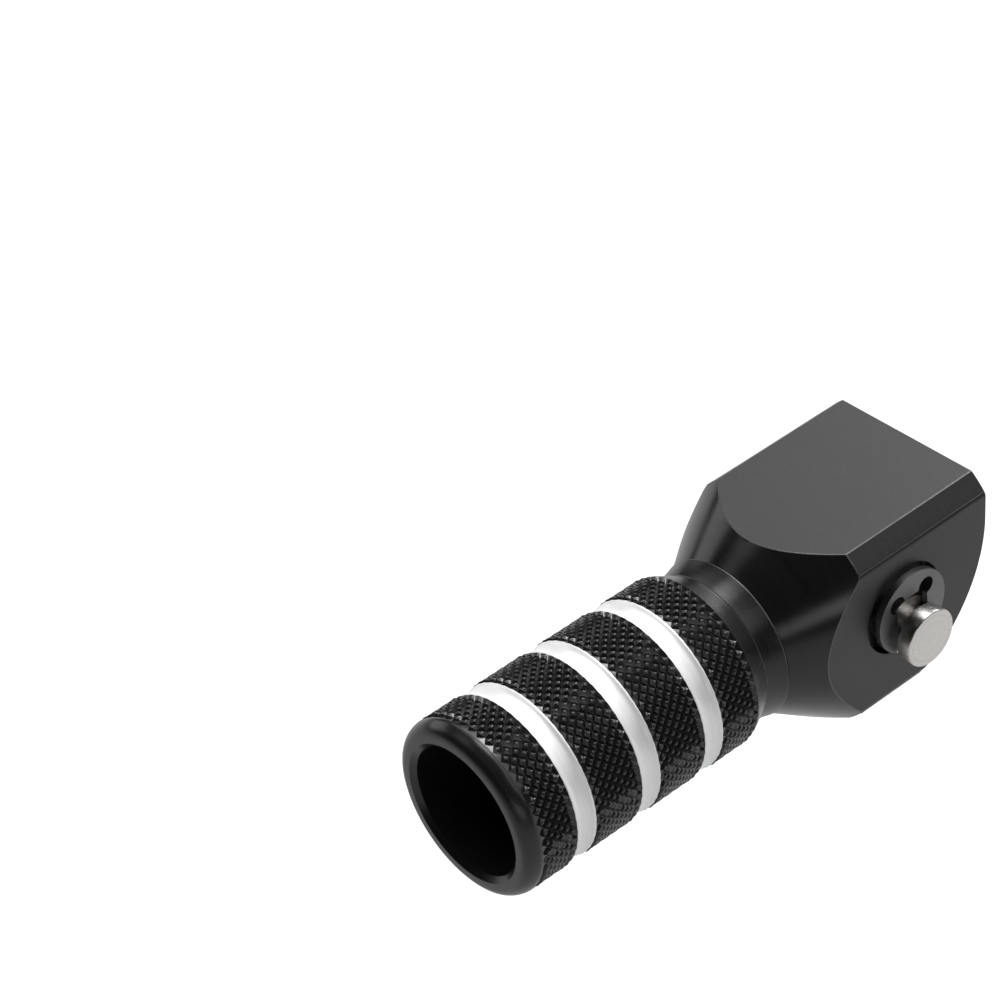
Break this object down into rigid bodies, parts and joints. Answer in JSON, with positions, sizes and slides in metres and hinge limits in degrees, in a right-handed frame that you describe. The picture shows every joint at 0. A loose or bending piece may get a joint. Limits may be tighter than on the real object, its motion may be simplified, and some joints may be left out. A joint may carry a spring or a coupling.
{
  "type": "folding gear shift lever toe peg",
  "caption": "Folding toe peg for a motorcycle gear shift lever: milled clevis head, knurled hollow barrel, sprung pivot pin and retaining clip.",
  "frame": {"origin": "on the pivot pin's axis, in the middle of the slot that takes the lever's eye", "axes": "+X along the peg to its open end, +Y along the pin to its clip, +Z out of the head's top flat"},
  "size_m": [0.0576, 0.0234, 0.0199],
  "materials": {
    "black_anodised_head": "black anodised, satin, with fine turning marks on the cone",
    "black_anodised_barrel": "black anodised diamond knurl with bright cut ring grooves",
    "screw_steel": "zinc plated",
    "washer_steel": "plain spring steel",
    "pin_steel": "bright turned stainless",
    "clip_steel": "tumbled spring steel, satin grey",
    "spring_wire": "drawn spring wire"
  },
  "bodies": {
    "pivot": {"pivot_pin": "pin_steel", "retaining_clip": "clip_steel", "return_spring": "spring_wire"},
    "tip": {"clevis_head": "black_anodised_head", "toe_barrel": "black_anodised_barrel", "barrel_screw": "screw_steel", "lock_washer": "washer_steel"}
  },
  "joints": [
    {"name": "tip_fold", "type": "hinge", "parent": "pivot", "child": "tip", "pos_m": [0, 0, 0], "axis": [0, 1, 0], "range_deg": [0, 90], "stiffness_Nm_per_rad": 0.06, "springref_deg": -29.79, "deforming": ["return_spring"]}
  ]
}
